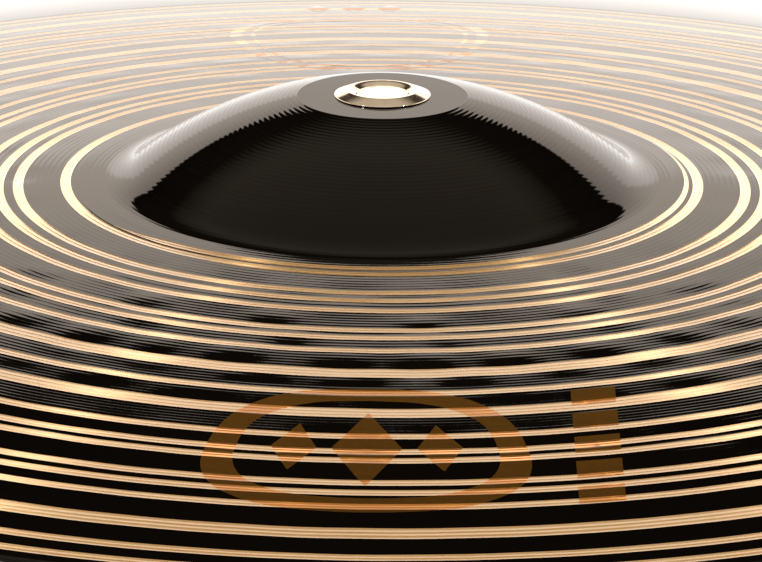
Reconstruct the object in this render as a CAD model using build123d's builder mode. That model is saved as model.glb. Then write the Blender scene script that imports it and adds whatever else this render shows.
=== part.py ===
from build123d import *
import math
import os

# A 16 inch crash cymbal: one spun and lathed bronze plate, with a metal eyelet set in its centre hole
# over a backing washer. Millimetres. Z is the axis of rotation and z = 0 is the rim's lower edge.

# Plate
cymbal_diameter = 406.4         # 16 inches
plate_thickness = 1.0
bow_radius = 1900.0             # arc of the playing surface, seen in section
edge_slope = 7.5                # degrees below level, at the rim
dome_radius = 90.0              # arc of the bell, centred on the axis
dome_top = 34.2                 # height that the bell's arc would reach on the axis
bell_fillet = 12.0              # hollow arc between the bell and the bow
land_radius = 18.2              # flat turned seat around the hole
rim_round = 0.4

# Lathe cuts that go through the dark finish to the bright bronze
cut_depth = 0.15
narrow_cut = 2.2
wide_cut = 4.0
narrow_cut_radii = [64.1, 67.5, 77.6, 81.8, 87.1, 97.0, 100.8, 107.2, 127.0, 146.1,
                    152.5, 156.2, 165.2, 169.2, 174.8, 193.8, 199.2]
wide_cut_radii = [117.8, 135.9, 184.9]

# Eyelet and its washer
bore_radius = 5.5
barrel_radius = 6.1
crown_radius = 10.25
crest_radius = 7.8
crest_height = 1.35             # above the land
crown_waist = 0.15              # height of the crown's widest line above the land
crown_tuck = 0.15               # how far the crown turns in below that line
throat_height = 0.55            # where the straight bore begins, above the land
washer_radius = 10.0
washer_thickness = 0.8
washer_chamfer = 0.2
lip_radius = 8.0
lip_thickness = 0.6
lip_round = 0.25

os.makedirs("parts", exist_ok=True)

# Centres of the section's arcs. The underside runs one plate thickness inside the top, on the same centres.
rim_radius = cymbal_diameter / 2
bow_centre_r = rim_radius - bow_radius * math.sin(math.radians(edge_slope))
bow_centre_z = -math.sqrt((bow_radius - plate_thickness) ** 2 - (rim_radius - bow_centre_r) ** 2)
dome_centre_z = dome_top - dome_radius
land_height = dome_centre_z + math.sqrt(dome_radius ** 2 - land_radius ** 2)
land_underside = land_height - plate_thickness


def fillet_centre():
    """Centre of the bell's hollow arc, which touches the dome arc and the bow arc from above."""
    to_dome = dome_radius + bell_fillet
    to_bow = bow_radius + bell_fillet
    across = bow_centre_r
    up = bow_centre_z - dome_centre_z
    apart = math.hypot(across, up)
    along = (to_dome ** 2 - to_bow ** 2 + apart ** 2) / (2 * apart)
    aside = math.sqrt(to_dome ** 2 - along ** 2)
    r = (across * along - up * aside) / apart
    z = dome_centre_z + (up * along + across * aside) / apart
    return r, z


fillet_r, fillet_z = fillet_centre()


def on_dome(depth):
    """Where the dome arc meets the hollow arc, on a surface this far below the top."""
    share = (dome_radius - depth) / (dome_radius + bell_fillet)
    return fillet_r * share, dome_centre_z + (fillet_z - dome_centre_z) * share


def on_bow(depth):
    """Where the bow arc meets the hollow arc, on a surface this far below the top."""
    share = (bow_radius - depth) / (bow_radius + bell_fillet)
    return bow_centre_r + (fillet_r - bow_centre_r) * share, bow_centre_z + (fillet_z - bow_centre_z) * share


def bow_height(r, depth=0.0):
    return bow_centre_z + math.sqrt((bow_radius - depth) ** 2 - (r - bow_centre_r) ** 2)


def dome_height(r, depth=0.0):
    return dome_centre_z + math.sqrt((dome_radius - depth) ** 2 - r ** 2)


def hollow_height(r, depth=0.0):
    return fillet_z - math.sqrt((bell_fillet + depth) ** 2 - (r - fillet_r) ** 2)


def bow_slope(r):
    """Fall of the bow at this radius, in degrees."""
    return math.degrees(math.asin((r - bow_centre_r) / bow_radius))


def surface_arcs(depth):
    """Bow, hollow and dome arcs in order from the rim to the land, this far below the top surface."""
    rim = (rim_radius, bow_height(rim_radius, depth))
    foot = on_bow(depth)
    shoulder = on_dome(depth)
    land_r = math.sqrt((dome_radius - depth) ** 2 - (land_height - depth - dome_centre_z) ** 2)
    middles = [(rim[0] + foot[0]) / 2, (foot[0] + shoulder[0]) / 2, (shoulder[0] + land_r) / 2]
    ThreePointArc(rim, (middles[0], bow_height(middles[0], depth)), foot)
    ThreePointArc(foot, (middles[1], hollow_height(middles[1], depth)), shoulder)
    ThreePointArc(shoulder, (middles[2], dome_height(middles[2], depth)), (land_r, land_height - depth))
    Line((land_r, land_height - depth), (barrel_radius, land_height - depth))


# One sheet of bronze, from the hole through the bell and the bow to the rim
with BuildPart() as cymbal_plate:
    with BuildSketch(Plane.XZ):
        with BuildLine():
            surface_arcs(0.0)
            Line((barrel_radius, land_height), (barrel_radius, land_underside))
            surface_arcs(plate_thickness)
            Line((rim_radius, bow_height(rim_radius, plate_thickness)), (rim_radius, bow_height(rim_radius)))
        section = make_face()
        rim_corners = section.vertices().group_by(Axis.X)[-1]
        fillet(rim_corners.sort_by(Axis.Z)[-1], radius=rim_round)
    revolve(axis=Axis.Z)
    with BuildSketch(Plane.XZ):
        for radii, width in ((narrow_cut_radii, narrow_cut), (wide_cut_radii, wide_cut)):
            for r in radii:
                with Locations(Location((r, bow_height(r)), -bow_slope(r))):
                    Rectangle(width, 2 * cut_depth)
    revolve(axis=Axis.Z, mode=Mode.SUBTRACT)
cymbal_plate.part.label = "cymbal_plate"

# Barrel through the plate and the washer, with a rounded crown above and a rolled lip below
lip_top = land_underside - washer_thickness
lip_bottom = lip_top - lip_thickness
flare_width = crest_radius - bore_radius
flare_drop = crest_height - throat_height
flare_radius = (flare_width ** 2 + flare_drop ** 2) / (2 * flare_drop)
flare_middle = bore_radius + flare_width / 2


def flare_height(r):
    """Height of the arc that opens the bore out to the crown's crest."""
    return land_height + crest_height - flare_radius + math.sqrt(flare_radius ** 2 - (crest_radius - r) ** 2)


with BuildPart() as hole_eyelet:
    with BuildSketch(Plane.XZ):
        with BuildLine():
            throat = (bore_radius, land_height + throat_height)
            crest = (crest_radius, land_height + crest_height)
            waist = (crown_radius, land_height + crown_waist)
            ThreePointArc(throat, (flare_middle, flare_height(flare_middle)), crest)
            EllipticalCenterArc(
                (crest_radius, waist[1]),
                crown_radius - crest_radius,
                crest_height - crown_waist,
                start_angle=0,
                arc_size=90,
            )
            Polyline(
                waist,
                (crown_radius - crown_tuck, land_height),
                (barrel_radius, land_height),
                (barrel_radius, lip_top),
                (lip_radius, lip_top),
                (lip_radius, lip_bottom),
                (bore_radius, lip_bottom),
                throat,
            )
        make_face()
    revolve(axis=Axis.Z)
    lip_edges = hole_eyelet.edges().filter_by(GeomType.CIRCLE).group_by(Axis.Z)[0]
    fillet(lip_edges, radius=lip_round)
hole_eyelet.part.label = "hole_eyelet"

# Flat ring that the rolled lip presses against the plate's underside
with BuildPart() as eyelet_washer:
    with BuildSketch(Plane.XY.offset(lip_top)):
        Circle(washer_radius)
        Circle(barrel_radius, mode=Mode.SUBTRACT)
    extrude(amount=washer_thickness)
    washer_corner = eyelet_washer.edges().group_by(Axis.Z)[0].sort_by(SortBy.RADIUS)[-1]
    chamfer(washer_corner, length=washer_chamfer)
eyelet_washer.part.label = "eyelet_washer"

for piece in (cymbal_plate, hole_eyelet, eyelet_washer):
    export_step(piece.part, f"parts/{piece.part.label}.step")

print("land height", round(land_height, 2))
print("overall height", round(land_height + crest_height, 2))
print("bell foot radius", round(on_bow(0.0)[0], 2))
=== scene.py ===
import bisect
import math
import random

import bmesh
import bpy
from mathutils import Matrix, Vector


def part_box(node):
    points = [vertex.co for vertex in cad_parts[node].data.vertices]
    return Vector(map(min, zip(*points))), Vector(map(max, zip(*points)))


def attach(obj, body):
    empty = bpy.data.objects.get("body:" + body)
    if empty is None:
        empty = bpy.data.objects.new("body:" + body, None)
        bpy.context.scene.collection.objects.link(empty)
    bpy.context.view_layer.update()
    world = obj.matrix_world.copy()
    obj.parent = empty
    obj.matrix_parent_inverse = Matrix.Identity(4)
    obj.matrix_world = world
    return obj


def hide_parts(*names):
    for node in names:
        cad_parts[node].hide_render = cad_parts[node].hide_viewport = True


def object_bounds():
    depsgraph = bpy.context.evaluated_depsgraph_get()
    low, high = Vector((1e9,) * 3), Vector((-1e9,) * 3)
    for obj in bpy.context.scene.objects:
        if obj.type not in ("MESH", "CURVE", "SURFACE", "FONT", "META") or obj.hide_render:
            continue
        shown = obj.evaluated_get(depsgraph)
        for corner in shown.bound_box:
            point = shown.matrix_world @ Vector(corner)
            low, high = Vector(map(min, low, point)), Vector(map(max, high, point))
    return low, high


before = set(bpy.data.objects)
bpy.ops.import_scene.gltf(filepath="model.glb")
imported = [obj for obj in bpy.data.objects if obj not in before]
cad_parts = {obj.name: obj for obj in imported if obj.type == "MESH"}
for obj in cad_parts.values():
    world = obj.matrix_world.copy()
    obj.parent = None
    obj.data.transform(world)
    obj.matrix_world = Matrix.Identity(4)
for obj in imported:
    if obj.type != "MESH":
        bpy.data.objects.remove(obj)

cad_low, cad_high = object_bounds()
MM = 0.001
TURN = 2 * math.pi

# ---------------------------------------------------------------------------------------------------------
# Sizes, in millimetres. The boxes of the CAD nodes give the places; the arcs are the turned section's.
# ---------------------------------------------------------------------------------------------------------
plate_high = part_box("cymbal_plate")[1] / MM
eyelet_low, eyelet_high = (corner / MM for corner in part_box("hole_eyelet"))
washer_low, washer_high = (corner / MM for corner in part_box("eyelet_washer"))

RIM_R = plate_high.x
LAND_Z = plate_high.z
PLATE_T = 1.0
BOW_ARC = 1900.0
EDGE_SLOPE = 7.5
DOME_ARC = 90.0
FOOT_ARC = 12.0
LAND_R = 18.2
RIM_ROUND = 0.4
RIM_BREAK = 0.15                # the broken edge under the rim
RIM_CLEAR = 2.0                 # the rim is left plain this far in
HOLE_R = 6.1

# Bright cuts through the finish: centre radius and width of each
NARROW, WIDE = 2.2, 4.0
CUTS = sorted(
    [(r, NARROW) for r in (64.1, 67.5, 77.6, 81.8, 87.1, 97.0, 100.8, 107.2, 127.0, 146.1,
                           152.5, 156.2, 165.2, 169.2, 174.8, 193.8, 199.2)]
    + [(r, WIDE) for r in (117.8, 135.9, 184.9)]
)
CUT_LINE = 1.27                     # pitch of the tool marks in a cut
CUT_DEPTH = 0.075
CUT_INNER, CUT_STEP = 0.30, 0.12    # width of the drop at the first tool mark, and at the others
CUT_BEND, BEND_DEPTH = 0.65, 0.054  # share of a tool mark's width at which it bends up, and the depth there
THINNEST = 0.05                     # a plain strip narrower than this between two cuts is left out

# Tool marks left in the dark surface: pitch, and the tilt at their edges in degrees
BOW_PITCH, BOW_TILT = 1.27, 2.0
BELL_PITCH, BELL_TILT, FOOT_TILT = 1.06, 4.0, 2.5
UNDER_PITCH, UNDER_BELL_PITCH, UNDER_TILT = 4.2, 2.8, 1.2
UNDER_START = 0.5               # the first tool mark underneath starts this far in from the edge

SEGS_BOW, SEGS_BELL, SEGS_EYELET = 240, 120, 144

# ---------------------------------------------------------------------------------------------------------
# The turned section
# ---------------------------------------------------------------------------------------------------------
bow_cr = RIM_R - BOW_ARC * math.sin(math.radians(EDGE_SLOPE))
bow_cz = -math.sqrt((BOW_ARC - PLATE_T) ** 2 - (RIM_R - bow_cr) ** 2)
dome_cz = LAND_Z - math.sqrt(DOME_ARC ** 2 - LAND_R ** 2)


def foot_centre():
    """Where the foot's arc is centred, so that it meets the dome and the bow without a kink."""
    to_dome, to_bow = DOME_ARC + FOOT_ARC, BOW_ARC + FOOT_ARC
    across, up = bow_cr, bow_cz - dome_cz
    apart = math.hypot(across, up)
    along = (to_dome ** 2 - to_bow ** 2 + apart ** 2) / (2 * apart)
    aside = math.sqrt(to_dome ** 2 - along ** 2)
    return (across * along - up * aside) / apart, dome_cz + (up * along + across * aside) / apart


foot_r, foot_z = foot_centre()


def shoulder_r(depth):
    """Radius at which the dome ends and the foot begins."""
    return foot_r * (DOME_ARC - depth) / (DOME_ARC + FOOT_ARC)


def bow_start_r(depth):
    """Radius at which the foot ends and the bow begins."""
    return bow_cr + (foot_r - bow_cr) * (BOW_ARC - depth) / (BOW_ARC + FOOT_ARC)


def height(r, depth=0.0):
    """Height of the section at a radius, this far inside the top surface."""
    land_r = math.sqrt((DOME_ARC - depth) ** 2 - (LAND_Z - depth - dome_cz) ** 2)
    if r <= land_r:
        return LAND_Z - depth
    if r <= shoulder_r(depth):
        return dome_cz + math.sqrt((DOME_ARC - depth) ** 2 - r ** 2)
    if r < bow_start_r(depth):
        return foot_z - math.sqrt((FOOT_ARC + depth) ** 2 - (r - foot_r) ** 2)
    return bow_cz + math.sqrt((BOW_ARC - depth) ** 2 - (r - bow_cr) ** 2)


# A ring of the section: radius, height, whether its edge is crisp, and the finish of the face after it
DARK, BRIGHT = 0, 1


def scallops(start, end, pitch, tilt, faces=2, depth=0.0, side=-1):
    """Shallow round-bottomed tool marks side by side, from start up to but not including end."""
    rings = []
    count = max(1, round(abs(end - start) / pitch))
    width = (end - start) / count
    deepest = abs(width) * math.tan(math.radians(tilt)) / faces
    for i in range(count):
        for j in range(faces):
            r = start + width * (i + j / faces)
            z = height(r, depth) + side * (deepest if j else 0.0)
            rings.append((r, z, j == 0, DARK))
    return rings


def cut(centre, width):
    """One bright cut: tool marks that each drop at their inner edge and curve back up outwards."""
    count = round(width / CUT_LINE)
    each = width / count
    rings = []
    for i in range(count):
        start = centre - width / 2 + each * i
        low = start + (CUT_STEP if i else CUT_INNER)
        bend = start + each * CUT_BEND
        rings.append((start, height(start), True, BRIGHT))
        rings.append((low, height(low) - CUT_DEPTH, True, BRIGHT))
        rings.append((bend, height(bend) - BEND_DEPTH, False, BRIGHT))
    return rings


def top_rings():
    """From the hole outwards to the rim."""
    rings = [(HOLE_R, LAND_Z, True, DARK), (HOLE_R + 2, LAND_Z, False, DARK)]
    rings.append((LAND_R - 1, LAND_Z, False, DARK))
    rings += scallops(LAND_R, shoulder_r(0), BELL_PITCH, BELL_TILT, faces=3)
    rings += scallops(shoulder_r(0), bow_start_r(0), BELL_PITCH, FOOT_TILT, faces=3)
    r = bow_start_r(0)
    for centre, width in CUTS:
        if centre - width / 2 - r > THINNEST:
            rings += scallops(r, centre - width / 2, BOW_PITCH, BOW_TILT)
        rings += cut(centre, width)
        r = centre + width / 2
    rings += scallops(r, RIM_R - RIM_ROUND, BOW_PITCH, BOW_TILT)
    # the rounded rim
    steps = 5
    centre_r = RIM_R - RIM_ROUND
    centre_z = height(RIM_R) - RIM_ROUND
    for i in range(steps + 1):
        a = math.radians(90 * (1 - i / steps))
        rings.append((centre_r + RIM_ROUND * math.cos(a), centre_z + RIM_ROUND * math.sin(a), False, DARK))
    rings[-steps - 1] = (centre_r, height(centre_r), False, DARK)
    return rings


def under_rings():
    """From the rim inwards to the hole."""
    edge = RIM_R - RIM_BREAK
    bow, shoulder = bow_start_r(PLATE_T), shoulder_r(PLATE_T)
    rings = [(RIM_R, height(RIM_R, PLATE_T) + RIM_BREAK, False, DARK)]
    rings.append((edge, height(edge, PLATE_T), True, DARK))
    rings += scallops(edge - UNDER_START, bow, UNDER_PITCH, UNDER_TILT, depth=PLATE_T, side=1)
    steps = 9
    for i in range(steps):
        r = bow + (shoulder - bow) * i / steps
        rings.append((r, height(r, PLATE_T), False, DARK))
    inner = math.sqrt((DOME_ARC - PLATE_T) ** 2 - (LAND_Z - PLATE_T - dome_cz) ** 2)
    rings += scallops(shoulder, inner, UNDER_BELL_PITCH, UNDER_TILT, depth=PLATE_T, side=1)
    rings.append((inner, LAND_Z - PLATE_T, True, DARK))
    rings.append((HOLE_R, LAND_Z - PLATE_T, True, DARK))
    return rings


# ---------------------------------------------------------------------------------------------------------
# Hammer marks: small flats in rows, each tilted a little out or in, and a slow waviness between them
# ---------------------------------------------------------------------------------------------------------
random.seed(11)
BOW_REACH = 66.0                # the bow is plain inside this radius
MARK_REACH = 22.0               # marks further round than this aren't looked at
FAINTEST = 12                   # nor are places where the power of a mark's bell curve is past this
# how far a mark strays round its row, as a share of the space it has, and across it; and by how much its
# tilt and its sizes differ
STRAY_ROUND, STRAY_ACROSS = 0.12, 0.7
TILTS, LENGTHS, WIDTHS = (0.75, 1.15), (0.8, 1.2), (0.85, 1.15)
WAVE_COUNT, WAVE_HEIGHT, WAVE_BASE = 7, 0.006, 0.02
WAVE_RATES = (0.12, 0.22)       # radians in a millimetre
WAVE_IN, WAVE_OUT = 12.0, 8.0   # the waviness fades in and out over these widths
# row radius, marks in the row, angle of one mark, tilt outwards in degrees, half length and half width
MARK_ROWS = [
    (81.5, 21, -94.5, -1.5, 4.4, 4.2),
    (94.6, 20, -85.1, 2.6, 4.2, 2.4),
    (103.6, 20, -83.0, 2.4, 3.5, 2.1),
    (113.6, 41, -85.8, 3.1, 4.0, 3.2),
    (122.0, 38, -92.5, 2.2, 4.3, 2.2),
    (131.3, 42, -97.0, 2.2, 5.2, 2.6),
    (149.0, 46, -90.0, 1.6, 5.0, 3.2),
    (161.0, 50, -92.0, 1.6, 5.0, 3.2),
    (179.5, 54, -88.0, 1.5, 5.0, 3.2),
    (190.5, 60, -91.0, 1.2, 5.0, 2.8),
]
marks = []
for row_r, count, start, tilt, along, across in MARK_ROWS:
    for i in range(count):
        jitter = random.uniform(-STRAY_ROUND, STRAY_ROUND) if i else 0.0
        turn = math.radians(start) + TURN * (i + jitter) / count
        marks.append((turn % TURN, row_r + random.uniform(-STRAY_ACROSS, STRAY_ACROSS),
                      math.tan(math.radians(tilt * random.uniform(*TILTS))),
                      along * random.uniform(*LENGTHS), across * random.uniform(*WIDTHS)))
marks.sort()
mark_angles = [m[0] for m in marks]
# heading, phase and rate of each wave
waves = [(random.uniform(0, TURN), random.uniform(0, TURN), random.uniform(*WAVE_RATES))
         for _ in range(WAVE_COUNT)]


def hammered(r, a):
    """How far the surface is pushed down at a place on the bow."""
    if r < BOW_REACH or r > RIM_R - RIM_CLEAR:
        return 0.0
    down = 0.0
    reach = MARK_REACH / r
    a = a % TURN
    for turn in (-TURN, 0.0, TURN):
        first = bisect.bisect_left(mark_angles, a - reach + turn)
        last = bisect.bisect_right(mark_angles, a + reach + turn)
        for mark_a, mark_r, tilt, along, across in marks[first:last]:
            u = (a + turn - mark_a) * r / along
            v = (r - mark_r) / across
            q = u ** 4 + v * v
            if q < FAINTEST:
                down += tilt * (r - mark_r) * math.exp(-q / 2)
    return down


def waviness(r, a):
    """The slow rise and fall of the bow between its marks."""
    x, y = r * math.cos(a), r * math.sin(a)
    total = 0.0
    for heading, phase, rate in waves:
        total += math.sin((x * math.cos(heading) + y * math.sin(heading)) * rate + phase)
    fade_in = min(1.0, max(0.0, (r - BOW_REACH) / WAVE_IN))
    fade_out = min(1.0, max(0.0, (RIM_R - RIM_CLEAR - r) / WAVE_OUT))
    return WAVE_HEIGHT * total * (fade_in * fade_out)


def pushed(r, a):
    """All that the surface is pushed down. The waviness only ever pushes it down."""
    return hammered(r, a) + max(0.0, waviness(r, a) + WAVE_BASE)


# ---------------------------------------------------------------------------------------------------------
# Mesh helpers
# ---------------------------------------------------------------------------------------------------------
def mesh_object(name, bm, materials):
    """A piece of the cymbal from a finished mesh."""
    mesh = bpy.data.meshes.new(name)
    bm.normal_update()
    bm.to_mesh(mesh)
    bm.free()
    piece = bpy.data.objects.new(name, mesh)
    bpy.context.collection.objects.link(piece)
    for material in materials:
        mesh.materials.append(material)
    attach(piece, "root")
    return piece


def ring_verts(bm, r, z, segments, push, shift):
    """The vertices of one ring, moved by shift and pushed down by push."""
    verts = []
    for i in range(segments):
        a = TURN * i / segments
        at_r, at_z = shift(r, z, a) if shift else (r, z)
        low = push(at_r, a) if push else 0.0
        verts.append(bm.verts.new((at_r * math.cos(a) * MM, at_r * math.sin(a) * MM, (at_z - low) * MM)))
    return verts


def join_rings(bm, inner, outer, slot):
    """Faces between two rings, of the same count or one twice the other."""
    n, m = len(inner), len(outer)
    if n == m:
        for i in range(n):
            j = (i + 1) % n
            face = bm.faces.new((inner[i], outer[i], outer[j], inner[j]))
            face.material_index, face.smooth = slot, True
        return
    if m == 2 * n:
        for i in range(n):
            j, k = (i + 1) % n, 2 * i
            for corners in ((inner[i], outer[k], outer[k + 1]), (inner[i], outer[k + 1], inner[j]),
                            (inner[j], outer[k + 1], outer[(k + 2) % m])):
                face = bm.faces.new(corners)
                face.material_index, face.smooth = slot, True
        return
    for i in range(m):
        j, k = (i + 1) % m, 2 * i
        for corners in ((outer[i], outer[j], inner[k + 1]), (outer[i], inner[k + 1], inner[k]),
                        (outer[j], inner[(k + 2) % n], inner[k + 1])):
            face = bm.faces.new(corners)
            face.material_index, face.smooth = slot, True


def lathe(rings, segments_at, push=None, shift=None):
    """A closed body of revolution from its rings, outwards on top and back below."""
    bm = bmesh.new()
    loops = [ring_verts(bm, r, z, segments_at(r, z), push, shift) for r, z, _, _ in rings]
    count = len(rings)
    for k in range(count):
        join_rings(bm, loops[k], loops[(k + 1) % count], rings[k][3])
    bm.normal_update()
    bm.edges.ensure_lookup_table()
    for (_, _, crisp, _), loop in zip(rings, loops):
        if not crisp:
            continue
        for i, vert in enumerate(loop):
            edge = bm.edges.get((vert, loop[(i + 1) % len(loop)]))
            if edge:
                edge.smooth = False
    return bm


# ---------------------------------------------------------------------------------------------------------
# Materials
# ---------------------------------------------------------------------------------------------------------
LACQUER_IOR = 1.28
LACQUER_TINT = (1.0, 0.93, 0.84, 1)
LAND_GLOSS, LACQUER_GLOSS = 0.34, 0.5   # specular level of the flat round the eyelet, and of all the rest
LAND_BLEND = 0.3                # width over which one turns into the other
BUMP_HEIGHT = 0.0001            # metres
BRONZE = ((0.80, 0.43, 0.155), (0.92, 0.59, 0.255), (0.98, 0.71, 0.37))
BRONZE_COAT_IOR = 1.5
# the same bronze seen through ink
INKED_BRONZE = ((0.74, 0.25, 0.025), (0.86, 0.34, 0.045), (0.94, 0.43, 0.08))
INKED_COAT_IOR = 1.15


def shader(name):
    """A new material, its node tree and its surface node."""
    material = bpy.data.materials.new(name)
    material.use_nodes = True
    tree = material.node_tree
    return material, tree, tree.nodes["Principled BSDF"]


def node(tree, kind, **values):
    made = tree.nodes.new(kind)
    for key, value in values.items():
        setattr(made, key, value)
    return made


def math_node(tree, operation, a, b=None, c=None):
    made = node(tree, "ShaderNodeMath", operation=operation)
    for socket, value in zip(made.inputs, (a, b, c)):
        if value is None:
            continue
        if isinstance(value, (int, float)):
            socket.default_value = value
        else:
            tree.links.new(value, socket)
    return made.outputs[0]


def ramp(tree, factor, stops):
    made = node(tree, "ShaderNodeValToRGB")
    elements = made.color_ramp.elements
    while len(elements) < len(stops):
        elements.new(0.5)
    for element, (position, colour) in zip(elements, stops):
        element.position = position
        element.color = (*colour, 1)
    tree.links.new(factor, made.inputs[0])
    return made.outputs["Color"]


def polar(tree):
    """Radius from the axis in millimetres, the angle round it, and the raw object coordinates."""
    coords = node(tree, "ShaderNodeTexCoord").outputs["Object"]
    parts = node(tree, "ShaderNodeSeparateXYZ")
    tree.links.new(coords, parts.inputs[0])
    x, y = parts.outputs["X"], parts.outputs["Y"]
    square = math_node(tree, "ADD", math_node(tree, "MULTIPLY", x, x), math_node(tree, "MULTIPLY", y, y))
    radius = math_node(tree, "MULTIPLY", math_node(tree, "SQRT", square), 1 / MM)
    angle = math_node(tree, "ARCTAN2", y, x)
    return radius, angle, coords


def turned_noise(tree, radius, angle, per_mm, round_scale, detail=2.0):
    """Noise drawn out round the axis, like the scratches of a lathe tool."""
    where = node(tree, "ShaderNodeCombineXYZ")
    tree.links.new(math_node(tree, "MULTIPLY", radius, per_mm), where.inputs[0])
    for socket, wave in ((1, "SINE"), (2, "COSINE")):
        turned = math_node(tree, "MULTIPLY", math_node(tree, wave, angle), round_scale)
        tree.links.new(turned, where.inputs[socket])
    noise = node(tree, "ShaderNodeTexNoise")
    noise.inputs["Scale"].default_value = 1.0
    noise.inputs["Detail"].default_value = detail
    tree.links.new(where.outputs[0], noise.inputs["Vector"])
    return noise.outputs["Fac"]


def plain_noise(tree, coords, scale, detail=3.0):
    noise = node(tree, "ShaderNodeTexNoise")
    noise.inputs["Scale"].default_value = scale
    noise.inputs["Detail"].default_value = detail
    tree.links.new(coords, noise.inputs["Vector"])
    return noise.outputs["Fac"]


def map_range(tree, value, low, high, to_low, to_high):
    made = node(tree, "ShaderNodeMapRange")
    tree.links.new(value, made.inputs["Value"])
    for key, number in (("From Min", low), ("From Max", high), ("To Min", to_low), ("To Max", to_high)):
        made.inputs[key].default_value = number
    return made.outputs["Result"]


def mixed(tree, first, first_share, second):
    """Two values added, the first by its share and the second by the rest."""
    rest = math_node(tree, "MULTIPLY", second, round(1 - first_share, 2))
    return math_node(tree, "ADD", math_node(tree, "MULTIPLY", first, first_share), rest)


def bump(tree, height_value, strength, below=None):
    made = node(tree, "ShaderNodeBump")
    made.inputs["Strength"].default_value = strength
    made.inputs["Distance"].default_value = BUMP_HEIGHT
    tree.links.new(height_value, made.inputs["Height"])
    if below:
        tree.links.new(below, made.inputs["Normal"])
    return made.outputs["Normal"]


def dark_finish():
    """Smoked lacquer on lathed bronze: near black, with a warm gloss and fine turning lines under it."""
    material, tree, surface = shader("dark_bronze_finish")
    radius, angle, coords = polar(tree)
    lines = turned_noise(tree, radius, angle, 2.6, 0.7)
    cloud = plain_noise(tree, coords, 34.0)
    grain = plain_noise(tree, coords, 2600.0, 1.0)
    shade = mixed(tree, lines, 0.65, cloud)
    tree.links.new(
        ramp(tree, shade, [(0.3, (0.0006, 0.0003, 0.0001)), (0.55, (0.0016, 0.0010, 0.0005)),
                           (0.75, (0.0034, 0.0021, 0.0011))]),
        surface.inputs["Base Color"])
    tree.links.new(map_range(tree, shade, 0.3, 0.7, 0.003, 0.014), surface.inputs["Roughness"])
    tree.links.new(bump(tree, grain, 0.015, bump(tree, lines, 0.03)), surface.inputs["Normal"])
    gloss = map_range(tree, radius, LAND_R - LAND_BLEND, LAND_R, LAND_GLOSS, LACQUER_GLOSS)
    tree.links.new(gloss, surface.inputs["Specular IOR Level"])
    surface.inputs["IOR"].default_value = LACQUER_IOR
    surface.inputs["Specular Tint"].default_value = LACQUER_TINT
    return material


def bright_finish(name, colours, coat_ior):
    """Raw bronze where the tool went through the lacquer, brushed round the axis."""
    material, tree, surface = shader(name)
    radius, angle, coords = polar(tree)
    lines = turned_noise(tree, radius, angle, 7.0, 2.0)
    cloud = plain_noise(tree, coords, 26.0)
    shade = mixed(tree, lines, 0.7, cloud)
    tree.links.new(ramp(tree, shade, list(zip((0.28, 0.5, 0.72), colours))), surface.inputs["Base Color"])
    tree.links.new(map_range(tree, shade, 0.3, 0.7, 0.24, 0.34), surface.inputs["Roughness"])
    tree.links.new(bump(tree, lines, 0.08), surface.inputs["Normal"])
    surface.inputs["Metallic"].default_value = 1.0
    surface.inputs["Coat Weight"].default_value = 1.0
    surface.inputs["Coat Roughness"].default_value = 0.10
    surface.inputs["Coat IOR"].default_value = coat_ior
    surface.inputs["Anisotropic"].default_value = 1.0
    surface.inputs["Anisotropic Rotation"].default_value = 0.25
    tangent = node(tree, "ShaderNodeTangent", direction_type="RADIAL", axis="Z")
    tree.links.new(tangent.outputs[0], surface.inputs["Tangent"])
    return material


def plated_finish(name, colour, rough):
    """Polished warm nickel with faint turning lines and handling marks."""
    material, tree, surface = shader(name)
    radius, angle, coords = polar(tree)
    lines = turned_noise(tree, radius, angle, 5.0, 1.0)
    marks = plain_noise(tree, coords, 240.0, 4.0)
    darker = tuple(c * 0.86 for c in colour)
    tree.links.new(ramp(tree, marks, [(0.3, darker), (0.6, colour)]), surface.inputs["Base Color"])
    roughness = map_range(tree, marks, 0.3, 0.7, rough * 0.7, rough * 1.5)
    tree.links.new(roughness, surface.inputs["Roughness"])
    tree.links.new(bump(tree, lines, 0.04), surface.inputs["Normal"])
    surface.inputs["Metallic"].default_value = 1.0
    return material


dark = dark_finish()
bright = bright_finish("lathed_bronze_finish", BRONZE, BRONZE_COAT_IOR)
nickel = plated_finish("plated_eyelet_finish", (0.90, 0.80, 0.66), 0.12)
zinc = plated_finish("plated_washer_finish", (0.62, 0.58, 0.52), 0.26)

# ---------------------------------------------------------------------------------------------------------
# The plate
# ---------------------------------------------------------------------------------------------------------
BELL_EDGE = bow_start_r(0) + 0.6        # the rings beyond this have more corners


def segments_at(r, z):
    """How many corners a ring has: more on the top of the bow than elsewhere."""
    on_top = z > height(r) - PLATE_T / 2
    return SEGS_BOW if r > BELL_EDGE and on_top else SEGS_BELL


# The innermost cut is a spiral: it starts at a tapered tip, runs half way round and joins the next cut.
# Past its ends the rings spread out again on the plain surface.
TIP_ANGLE = math.radians(-147)
SPIRAL_TURN = math.radians(172)
TIP_TAPER, TAIL_TAPER, SPREAD = math.radians(16), math.radians(70), math.radians(40)
TIP_SHARE = 0.04                # width left at a tip, as a share of the cut's
TIP_INSET = 0.3                 # how far inside the cut's outer edge a tip lies, before it swings
SPIRAL_SWING, SWING_POWER = 1.1, 0.8    # how far a tip swings outwards, and how soon the swing is gone
CROWDING = 0.05                 # share of their spacing that rings keep where the next cut crowds them
NEARLY = 0.01                   # rings this near to the cut's edges count as its own
first_start, first_end = CUTS[0][0] - NARROW / 2, CUTS[0][0] + NARROW / 2
second_start = CUTS[1][0] - NARROW / 2


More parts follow.
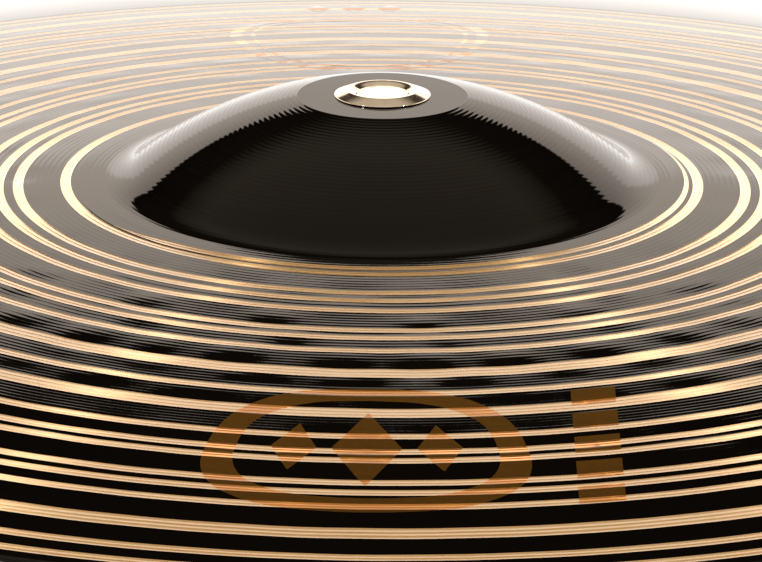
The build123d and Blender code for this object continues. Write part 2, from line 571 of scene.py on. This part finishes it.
def spiral_at(a):
    """The spiral's width share and sideways swing at an angle, and whether it's cut there."""
    along = (a - TIP_ANGLE) % TURN
    if along <= SPIRAL_TURN:
        share = min(1.0, TIP_SHARE + along / TIP_TAPER, TIP_SHARE + (SPIRAL_TURN - along) / TAIL_TAPER)
        swing = SPIRAL_SWING * (1 - math.sin(math.pi * along / SPIRAL_TURN) ** SWING_POWER)
        return share, swing, True
    past = min(1.0, min(along - SPIRAL_TURN, TURN - along) / SPREAD)
    return TIP_SHARE + (1 - TIP_SHARE) * past, SPIRAL_SWING * (1 - past), False


def spiral_shift(r, z, a):
    """Moves the innermost cut's rings sideways and closes them up where the spiral is narrow."""
    if not first_start - NEARLY < r < first_end + NEARLY or z < height(r) - PLATE_T / 2:
        return r, z
    share, swing, is_cut = spiral_at(a)
    deep = min(1.0, (share - TIP_SHARE) * 2) if is_cut else 0.0
    moved = first_end - (first_end - r) * share - (1 - share) * TIP_INSET + swing
    moved = min(moved, second_start - CROWDING * (first_end + TIP_INSET - r))
    return moved, height(moved) - (height(r) - z) * deep


plate_rings = top_rings() + under_rings()
plate_mesh = lathe(plate_rings, segments_at, pushed, spiral_shift)
for face in plate_mesh.faces:
    middle = face.calc_center_median() / MM
    on_spiral = math.hypot(middle.x, middle.y) < first_end + SPIRAL_SWING
    if face.material_index == BRIGHT and on_spiral and not spiral_at(math.atan2(middle.y, middle.x))[2]:
        face.material_index = DARK
plate = mesh_object("cymbal_plate_turned", plate_mesh, [dark, bright])
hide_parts("cymbal_plate")

# ---------------------------------------------------------------------------------------------------------
# Printed ornaments: thin films of gold-brown ink that follow the grooves
# ---------------------------------------------------------------------------------------------------------
FILM_OVER, FILM_UNDER = 0.02, 0.03
FILM_STEP = 1.6                 # width of the films' faces
FILM_GAP = 0.02                 # rings nearer than this to a film's end are left out
CRISP = math.radians(30)
BADGE_POWER = 2.6               # 2 is an ellipse, and more is squarer
TIP_WIDTH, TIP_TRIM = 0.03, 0.06
SEAM = 0.0005                   # radians kept between an outline's inner edge and its sides
top_line = [ring for ring in top_rings() if ring[0] > LAND_R]
top_radii = [ring[0] for ring in top_line]


def surface_at(r, a):
    """Height of the plate's own mesh at a place on the bow, and the finish there."""
    k = min(max(bisect.bisect_right(top_radii, r) - 1, 0), len(top_line) - 2)
    (r0, z0, _, slot), (r1, z1, _, _) = top_line[k], top_line[k + 1]
    share = (r - r0) / (r1 - r0)
    step = TURN / SEGS_BOW
    i = math.floor(a / step)
    side = a / step - i
    low = pushed(r, i * step) * (1 - side) + pushed(r, (i + 1) * step) * side
    return z0 + (z1 - z0) * share - low, slot


def film_strip(bm, r_start, r_end, left, right):
    """A thin closed sheet between two lines of angle, cut at every ring of the plate."""
    radii = [r_start] + [r for r in top_radii if r_start + FILM_GAP < r < r_end - FILM_GAP] + [r_end]
    widest = max((right(r) - left(r)) * r for r in radii)
    columns = max(2, round(widest / FILM_STEP))
    layers = []
    for lift in (FILM_OVER, -FILM_UNDER):
        rows = []
        for r in radii:
            row = []
            for i in range(columns + 1):
                a = left(r) + (right(r) - left(r)) * i / columns
                z = surface_at(r, a)[0] + lift
                row.append(bm.verts.new((r * math.cos(a) * MM, r * math.sin(a) * MM, z * MM)))
            rows.append(row)
        layers.append(rows)
    top, under = layers
    for k in range(len(radii) - 1):
        slot = surface_at((radii[k] + radii[k + 1]) / 2, left(radii[k]))[1]
        for i in range(columns):
            face = bm.faces.new((top[k][i], top[k + 1][i], top[k + 1][i + 1], top[k][i + 1]))
            face.material_index, face.smooth = slot, True
            face = bm.faces.new((under[k][i + 1], under[k + 1][i + 1], under[k + 1][i], under[k][i]))
            face.material_index = slot
        for i, flip in ((0, False), (columns, True)):
            corners = (top[k][i], under[k][i], under[k + 1][i], top[k + 1][i])
            bm.faces.new(corners[::-1] if flip else corners).material_index = slot
    for k, flip in ((0, True), (len(radii) - 1, False)):
        for i in range(columns):
            corners = (top[k][i], under[k][i], under[k][i + 1], top[k][i + 1])
            bm.faces.new(corners[::-1] if flip else corners)


def crisp_edges(bm):
    """Keeps the shading of the films' tops apart from their sides."""
    bm.normal_update()
    for edge in bm.edges:
        if edge.calc_face_angle(0.0) > CRISP:
            edge.smooth = False


def rounded_half(v, half_u, half_v):
    """Half width of a rounded badge at a height above its middle."""
    return half_u * max(0.0, 1 - (abs(v) / half_v) ** BADGE_POWER) ** (1 / BADGE_POWER)


def badge_ring(bm, centre_r, centre_a, half_u, half_v, line):
    """The outline of a rounded badge, as a top cap, a bottom cap and two sides."""
    inner_u, inner_v = half_u - line, half_v - line
    low, high = centre_r - half_v + TIP_TRIM, centre_r + half_v - TIP_TRIM
    inner_low, inner_high = centre_r - inner_v, centre_r + inner_v

    def outer(r):
        return rounded_half(r - centre_r, half_u, half_v) / centre_r

    def inner(r):
        return rounded_half(r - centre_r, inner_u, inner_v) / centre_r

    for start, end in ((low, inner_low), (inner_high, high)):
        film_strip(bm, start, end, lambda r: centre_a - outer(r), lambda r: centre_a + outer(r))
    film_strip(bm, inner_low, inner_high,
               lambda r: centre_a - outer(r), lambda r: centre_a - inner(r) - SEAM)
    film_strip(bm, inner_low, inner_high,
               lambda r: centre_a + inner(r) + SEAM, lambda r: centre_a + outer(r))


def lozenge(bm, centre_r, centre_a, half_u, half_v):
    """A diamond, as two strips that narrow from its middle to blunt tips."""
    def half(r):
        return half_u * (1 - (1 - TIP_WIDTH) * abs(r - centre_r) / half_v) / centre_r

    for start, end in ((centre_r - half_v, centre_r), (centre_r, centre_r + half_v)):
        film_strip(bm, start, end, lambda r: centre_a - half(r), lambda r: centre_a + half(r))


def ink_finish():
    """Screen ink under a clear coat as glossy as the lacquer."""
    material, tree, surface = shader("emblem_ink_on_lacquer")
    radius, angle, coords = polar(tree)
    lines = turned_noise(tree, radius, angle, 3.0, 1.2)
    specks = plain_noise(tree, coords, 900.0, 2.0)
    shade = mixed(tree, lines, 0.6, specks)
    tree.links.new(
        ramp(tree, shade, [(0.3, (0.070, 0.031, 0.0045)), (0.7, (0.098, 0.044, 0.0070))]),
        surface.inputs["Base Color"])
    tree.links.new(map_range(tree, specks, 0.3, 0.7, 0.02, 0.05), surface.inputs["Roughness"])
    tree.links.new(bump(tree, specks, 0.02), surface.inputs["Normal"])
    surface.inputs["IOR"].default_value = LACQUER_IOR
    surface.inputs["Specular Tint"].default_value = LACQUER_TINT
    return material


inks = [ink_finish(), bright_finish("emblem_ink_on_bronze", INKED_BRONZE, INKED_COAT_IOR)]

FRONT, FRONT_R = math.radians(-90.9), 151.0
FRONT_SIDE = 13.5               # of the small lozenges from the middle one
bm = bmesh.new()
badge_ring(bm, FRONT_R, FRONT, 29.5, 26.0, 5.5)
lozenge(bm, FRONT_R, FRONT, 6.5, 15.0)
for side in (-1, 1):
    lozenge(bm, FRONT_R, FRONT + side * FRONT_SIDE / FRONT_R, 4.2, 9.5)
crisp_edges(bm)
mesh_object("emblem_front_badge", bm, inks)

# a ladder of short bars beside it, between two straight lines
BAR_NEAR, BAR_FAR, BAR_WIDTH = 36.0, 44.5, 6.5
bm = bmesh.new()
for start in (129.0, 139.0, 149.0, 159.0, 169.0):
    film_strip(bm, start, start + BAR_WIDTH,
               lambda r: -math.acos(BAR_NEAR / r), lambda r: -math.acos(BAR_FAR / r))
crisp_edges(bm)
mesh_object("emblem_side_bars", bm, inks)

# on the far side, a thin double outline and a small mark near the rim
BACK, BACK_R, BACK_MARK_R = math.radians(92.3), 132.0, 186.0
bm = bmesh.new()
badge_ring(bm, BACK_R, BACK, 29.5, 37.5, 2.6)
badge_ring(bm, BACK_R, BACK, 25.0, 33.0, 1.0)
for offset in (-9.0, 0.0, 9.0):
    lozenge(bm, BACK_MARK_R, BACK + offset / BACK_MARK_R, 3.0, 6.5)
crisp_edges(bm)
mesh_object("emblem_back_outline", bm, inks)

# ---------------------------------------------------------------------------------------------------------
# The eyelet: a shallow crown above, a straight barrel through the hole, and a lip rolled out below
# ---------------------------------------------------------------------------------------------------------
CROWN_R = eyelet_high.x
CROWN_TOP = eyelet_high.z
BORE_R = 5.5
CREST_R = 7.4
CREST_ARC, EDGE_ARC, CROWN_SLOPE = 0.7, 0.20, 20.0
CROWN_TUCK = 0.3                # how far the crown's edge turns back in under itself
FIT = 0.02                      # the play between the eyelet and the plate
slope = math.radians(CROWN_SLOPE)
crown_run = (CROWN_R - EDGE_ARC + EDGE_ARC * math.sin(slope)) - (CREST_R + CREST_ARC * math.sin(slope))
slope_end = CROWN_TOP - CREST_ARC * (1 - math.cos(slope)) - crown_run * math.tan(slope)
EDGE_Z = slope_end - EDGE_ARC * math.cos(slope)
THROAT_Z = LAND_Z + 0.55         # below this the bore is straight
FLARE_DROP = CROWN_TOP - THROAT_Z
FLARE_ARC = ((CREST_R - BORE_R) ** 2 + FLARE_DROP ** 2) / (2 * FLARE_DROP)
FLARE_END = 90 + math.degrees(math.asin((CREST_R - BORE_R) / FLARE_ARC))
LIP_R, LIP_T, LIP_ROUND = 8.0, 0.6, 0.25
LIP_BOTTOM = eyelet_low.z
LIP_TOP = LIP_BOTTOM + LIP_T


def arc_rings(centre_r, centre_z, arc, start, end, steps):
    """Part of a circle in the section, as rings; angles in degrees from outwards, anticlockwise."""
    rings = []
    for i in range(steps + 1):
        a = math.radians(start + (end - start) * i / steps)
        rings.append((centre_r + arc * math.cos(a), centre_z + arc * math.sin(a), False, 0))
    return rings


eyelet_rings = (
    [(BORE_R, THROAT_Z, True, 0)]
    + arc_rings(CREST_R, CROWN_TOP - FLARE_ARC, FLARE_ARC, FLARE_END, 90, 10)[1:]
    + arc_rings(CREST_R, CROWN_TOP - CREST_ARC, CREST_ARC, 90, 90 - CROWN_SLOPE, 4)[1:]
    + arc_rings(CROWN_R - EDGE_ARC, EDGE_Z, EDGE_ARC, 90 - CROWN_SLOPE, -90, 12)
    + [(CROWN_R - EDGE_ARC - CROWN_TUCK, LAND_Z + FIT, False, 0)]
    + [(HOLE_R + FIT, LAND_Z + FIT, True, 0), (HOLE_R - FIT, LIP_TOP, True, 0)]
    + [(LIP_R - LIP_ROUND, LIP_TOP, False, 0)]
    + arc_rings(LIP_R - LIP_ROUND, LIP_TOP - LIP_ROUND, LIP_ROUND, 90, 0, 4)[1:]
    + arc_rings(LIP_R - LIP_ROUND, LIP_BOTTOM + LIP_ROUND, LIP_ROUND, 0, -90, 4)
    + arc_rings(BORE_R + LIP_ROUND, LIP_BOTTOM + LIP_ROUND, LIP_ROUND, -90, -180, 4)
)
eyelet_mesh = lathe(eyelet_rings, lambda r, z: SEGS_EYELET)
eyelet = mesh_object("hole_eyelet_rolled", eyelet_mesh, [nickel])
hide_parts("hole_eyelet")

# ---------------------------------------------------------------------------------------------------------
# The washer under the plate
# ---------------------------------------------------------------------------------------------------------
WASHER_R = washer_high.x
WASHER_TOP, WASHER_BOTTOM = washer_high.z, washer_low.z
WASHER_EDGE = 0.2               # its outer edge is rounded below, where the punch left it
WASHER_BREAK, WASHER_BORE_BREAK = 0.06, 0.1
edge_r, edge_z = WASHER_R - WASHER_EDGE, WASHER_BOTTOM + WASHER_EDGE
washer_rings = (
    [(HOLE_R, WASHER_TOP, True, 0), (WASHER_R - WASHER_BREAK, WASHER_TOP, False, 0)]
    + [(WASHER_R, WASHER_TOP - WASHER_BREAK, False, 0), (WASHER_R, edge_z, False, 0)]
    + arc_rings(edge_r, edge_z, WASHER_EDGE, 0, -90, 4)[1:]
    + [(HOLE_R + WASHER_BORE_BREAK, WASHER_BOTTOM, False, 0)]
    + [(HOLE_R, WASHER_BOTTOM + WASHER_BORE_BREAK, True, 0)]
)
washer_mesh = lathe(washer_rings, lambda r, z: SEGS_BELL)
washer = mesh_object("eyelet_washer_turned", washer_mesh, [zinc])
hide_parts("eyelet_washer")

# ---------------------------------------------------------------------------------------------------------
# Floor, sky and lamps
# ---------------------------------------------------------------------------------------------------------
FLOOR_R, FLOOR_SEGS = 12.0, 96  # metres
# the floor's own glow, with painted light and shade in it: a painted brightening under the bow, a painted
# soft contact shadow at the rim, and an even glow well beyond it; and the radii where it changes
PAINTED_LIGHT_UNDER_BOW, PAINTED_SHADE_AT_RIM, GLOW_AROUND = 2.4, 0.5, 1.3
UNDER_FROM, UNDER_TO, AROUND_FROM, AROUND_TO = 130, 190, 205, 265
floor_z = cad_low.z
bm = bmesh.new()
bmesh.ops.create_circle(bm, cap_ends=True, segments=FLOOR_SEGS, radius=FLOOR_R)
floor_mesh = bpy.data.meshes.new("floor")
bm.to_mesh(floor_mesh)
bm.free()
floor = bpy.data.objects.new("floor", floor_mesh)
floor.location.z = floor_z
bpy.context.collection.objects.link(floor)
floor_material, tree, surface = shader("floor_white")
surface.inputs["Base Color"].default_value = (0.40, 0.40, 0.40, 1)
surface.inputs["Roughness"].default_value = 0.9
surface.inputs["Specular IOR Level"].default_value = 0.0
surface.inputs["Emission Color"].default_value = (1.0, 0.98, 0.96, 1)
floor_radius, _, _ = polar(tree)
# painted light and shade: the floor glows brighter under the bow and fades to a painted soft contact shadow
# at the rim
under = map_range(tree, floor_radius, UNDER_FROM, UNDER_TO, PAINTED_LIGHT_UNDER_BOW, PAINTED_SHADE_AT_RIM)
# the even glow well beyond the rim starts from nothing at the rim, which deepens the painted contact shadow
# there
around = map_range(tree, floor_radius, AROUND_FROM, AROUND_TO, 0.0, GLOW_AROUND)
tree.links.new(math_node(tree, "ADD", under, around), surface.inputs["Emission Strength"])
floor_mesh.materials.append(floor_material)

SKY = 2.1                       # brightness of the ramps' white
LEAN_LEFT, LEAN_RIGHT = 0.09, 0.045     # how much the panel's edges drop to the left and rise to the right
# cosines of the turn from straight ahead at which the sky behind ends and the one ahead begins
BEHIND_TO, AHEAD_FROM = -0.35, 0.0
STRAIGHT_UP = 1.0001                    # just over 1, so that the root below always has a value
world = bpy.data.worlds.new("studio")
bpy.context.scene.world = world
world.use_nodes = True
tree = world.node_tree
parts = node(tree, "ShaderNodeSeparateXYZ")
tree.links.new(node(tree, "ShaderNodeTexCoord").outputs["Generated"], parts.inputs[0])
left_lean = math_node(tree, "MULTIPLY", parts.outputs["X"], LEAN_LEFT)
right_lean = math_node(tree, "MULTIPLY", parts.outputs["X"], LEAN_RIGHT)
lean = math_node(tree, "SUBTRACT", parts.outputs["Z"], math_node(tree, "MINIMUM", left_lean, right_lean))


def sine(degrees):
    """Where an elevation lies on a ramp over the height of a direction."""
    return math.sin(math.radians(degrees))


# ahead of the camera: a bright wide panel from the table up, a black gap above it, and a dim ceiling
sky = ramp(tree, lean, [
    (0.0, (0.93, 0.86, 0.80)),
    (sine(9), (0.99, 0.90, 0.82)),
    (sine(14), (1.06, 0.955, 0.86)),
    (sine(15.8), (0.84, 0.73, 0.63)),
    (sine(19), (0.90, 0.78, 0.67)),
    (sine(26.4), (0.92, 0.80, 0.685)),
    (sine(27.0), (0.008, 0.006, 0.004)),
    (sine(40), (0.025, 0.019, 0.014)),
    (sine(51), (0.25, 0.215, 0.17)),
    (1.0, (0.29, 0.25, 0.205)),
])
# the part of the sky behind the camera: a wide soft panel high up, and a dim room below it
behind = ramp(tree, parts.outputs["Z"], [
    (0.0, (0.24, 0.21, 0.19)),
    (sine(14), (0.05, 0.04, 0.03)),
    (sine(20), (0.05, 0.04, 0.03)),
    (sine(30), (0.46, 0.40, 0.32)),
    (sine(70), (0.40, 0.35, 0.28)),
    (1.0, (0.29, 0.25, 0.205)),
])
background = tree.nodes["Background"]
background.inputs["Strength"].default_value = SKY
rise_squared = math_node(tree, "POWER", parts.outputs["Z"], 2)
across = math_node(tree, "SQRT", math_node(tree, "SUBTRACT", STRAIGHT_UP, rise_squared))
facing = math_node(tree, "DIVIDE", parts.outputs["Y"], across)
blend = node(tree, "ShaderNodeMix", data_type="RGBA")
MIX_FACTOR, MIX_A, MIX_B, MIX_OUT = 0, 6, 7, 2     # the mix node's colour sockets
tree.links.new(map_range(tree, facing, BEHIND_TO, AHEAD_FROM, 0.0, 1.0), blend.inputs[MIX_FACTOR])
tree.links.new(behind, blend.inputs[MIX_A])
tree.links.new(sky, blend.inputs[MIX_B])
tree.links.new(blend.outputs[MIX_OUT], background.inputs["Color"])


LAMP_WIDTH, LAMP_LENGTH, LAMP_SPREAD, LAMP_DISTANCE = 0.09, 0.12, 9.0, 1.6
LAMP_ELEVATION, LAMP_WATTS, LAMP_COLOUR = 20.0, 0.065, (0.94, 0.96, 1.0)


def lamp(name, azimuth, aim):
    """A small upright softbox with a grid, aimed at a place on the bow. Azimuth from +Y towards +X."""
    data = bpy.data.lights.new(name, "AREA")
    data.shape = "RECTANGLE"
    data.size = LAMP_WIDTH
    data.size_y = LAMP_LENGTH
    data.spread = math.radians(LAMP_SPREAD)
    data.energy = LAMP_WATTS
    data.color = LAMP_COLOUR
    a, e = math.radians(azimuth), math.radians(LAMP_ELEVATION)
    heading = Vector((math.sin(a) * math.cos(e), math.cos(a) * math.cos(e), math.sin(e)))
    made = bpy.data.objects.new(name, data)
    made.location = heading * LAMP_DISTANCE
    made.rotation_mode = "QUATERNION"
    made.rotation_quaternion = (made.location - Vector(aim)).to_track_quat("Z", "Y")
    made.visible_camera = False
    bpy.context.collection.objects.link(made)


lamp("lamp_left", -132, (-0.06, -0.10, 0.0))
lamp("lamp_right", 126, (0.06, -0.10, 0.0))

# ---------------------------------------------------------------------------------------------------------
# Camera
# ---------------------------------------------------------------------------------------------------------
CAMERA_BACK = 0.966             # from the axis
CAMERA_HEIGHT = 0.3015          # above the floor
CAMERA_PITCH = 17.83            # degrees below level
CAMERA_ROLL = 0.457
CAMERA_LENS = 222.6

camera_data = bpy.data.cameras.new("camera")
camera_data.sensor_width = 36.0
camera_data.lens = CAMERA_LENS
camera_data.clip_start = 0.05
camera_data.clip_end = 60.0
camera = bpy.data.objects.new("camera", camera_data)
camera.location = (0, -CAMERA_BACK, floor_z + CAMERA_HEIGHT)
pitch, roll = math.radians(CAMERA_PITCH), math.radians(CAMERA_ROLL)
ahead = Vector((0, math.cos(pitch), -math.sin(pitch)))
upward = Vector((0, math.sin(pitch), math.cos(pitch)))
sideways = Vector((1, 0, 0))
axis_x = math.cos(roll) * sideways + math.sin(roll) * upward
axis_y = -math.sin(roll) * sideways + math.cos(roll) * upward
camera.rotation_mode = "QUATERNION"
camera.rotation_quaternion = Matrix((axis_x, axis_y, -ahead)).transposed().to_quaternion()
bpy.context.collection.objects.link(camera)
bpy.context.scene.camera = camera
bpy.context.scene.view_settings.view_transform = "Standard"
